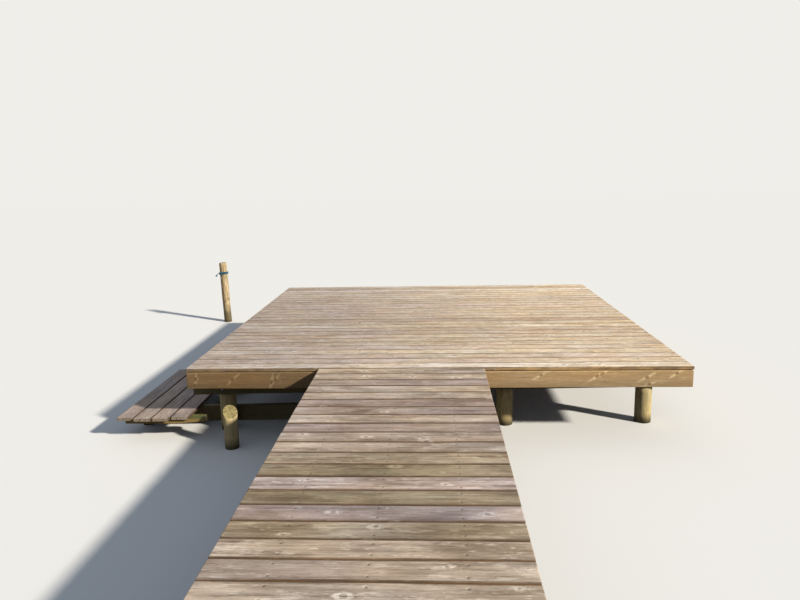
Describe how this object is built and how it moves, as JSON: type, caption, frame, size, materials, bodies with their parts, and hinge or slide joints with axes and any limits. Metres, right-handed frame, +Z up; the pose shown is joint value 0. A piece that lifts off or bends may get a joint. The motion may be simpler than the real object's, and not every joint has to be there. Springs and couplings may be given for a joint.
{
  "type": "wooden jetty",
  "caption": "Timber jetty: a square boarded platform on round posts, a gangway on joists and posts that leads out to it, a low side landing and a leaning mooring pile with a cord.",
  "frame": {"origin": "middle of the footprint's box, on the lowest ground", "axes": "+Z up, +Y out over the water along the gangway, +X to the right when walking out"},
  "size_m": [5.5098, 11.2082, 0.9455],
  "materials": {
    "platform_boards": "weathered pine, dry and matt",
    "gangway_boards": "weathered pine, silver grey, worn",
    "landing_boards": "weathered pine, pale",
    "facing_timber": "planed pine, yellow brown with knots",
    "frame_timber": "sawn treated pine",
    "round_posts": "turned treated pine, greenish",
    "mooring_timber": "peeled pine pole, dark at the foot",
    "mooring_cord": "laid plastic cord"
  },
  "bodies": {
    "root": {"deck_boards_1": "platform_boards", "deck_boards_2": "platform_boards", "deck_boards_3": "platform_boards", "deck_boards_4": "platform_boards", "gangway_boards_1": "gangway_boards", "gangway_boards_2": "gangway_boards", "gangway_boards_3": "gangway_boards", "gangway_boards_4": "gangway_boards", "landing_boards": "landing_boards", "landing_plank": "landing_boards", "front_fascia": "facing_timber", "back_fascia": "facing_timber", "left_rim_joist": "facing_timber", "right_rim_joist": "facing_timber", "left_deck_joists": "frame_timber", "right_deck_joists": "frame_timber", "front_bearer": "frame_timber", "middle_bearer": "frame_timber", "back_bearer": "frame_timber", "gangway_left_joist": "frame_timber", "gangway_middle_joist": "frame_timber", "gangway_right_joist": "frame_timber", "gangway_bearer_1": "frame_timber", "gangway_bearer_2": "frame_timber", "gangway_bearer_3": "frame_timber", "gangway_bearer_4": "frame_timber", "landing_beam": "frame_timber", "landing_back_bearer": "frame_timber", "front_post_1": "round_posts", "front_post_2": "round_posts", "front_post_3": "round_posts", "front_post_4": "round_posts", "middle_posts": "round_posts", "back_posts": "round_posts", "gangway_posts_1": "round_posts", "gangway_posts_2": "round_posts", "gangway_posts_3": "round_posts", "gangway_posts_4": "round_posts", "landing_posts": "round_posts", "pile_stub": "round_posts", "mooring_pile": "mooring_timber", "mooring_cord": "mooring_cord"}
  },
  "joints": []
}
